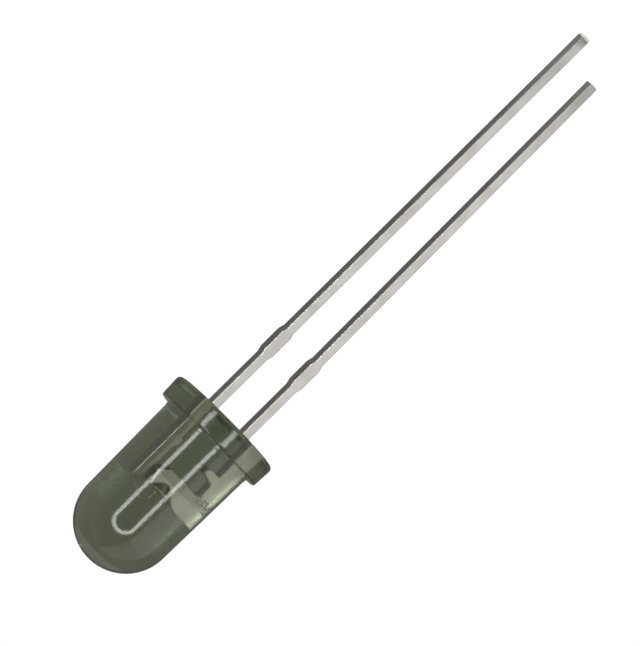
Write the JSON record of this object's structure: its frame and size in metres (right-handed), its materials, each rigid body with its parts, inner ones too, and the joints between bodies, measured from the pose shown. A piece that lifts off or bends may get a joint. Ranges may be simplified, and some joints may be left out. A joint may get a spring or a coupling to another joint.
{
  "type": "through hole led",
  "caption": "Round through hole LED with a smoke tinted domed body, a flanged base with a flat, and straight solder leads, one longer than the other.",
  "frame": {"origin": "centre of the flat underside of the flange, where the body sits on the board", "axes": "+Z along the optical axis from the board towards the dome, +X from the short lead (cathode, flange flat) to the long lead (anode), +Y square to the plane of the leads"},
  "size_m": [0.0055, 0.006, 0.0328],
  "materials": {
    "tinted_resin": "clear smoke tinted epoxy, glossy as moulded",
    "tinned_lead": "stamped steel with a semi bright tin plating",
    "silver_glue": "matt silver filled epoxy",
    "chip": "polished semiconductor",
    "gold_wire": "bright drawn gold"
  },
  "bodies": {
    "root": {"lens": "tinted_resin", "cathode_lead": "tinned_lead", "anode_lead": "tinned_lead", "chip_glue": "silver_glue", "chip": "chip", "bond_wire": "gold_wire"}
  },
  "joints": []
}
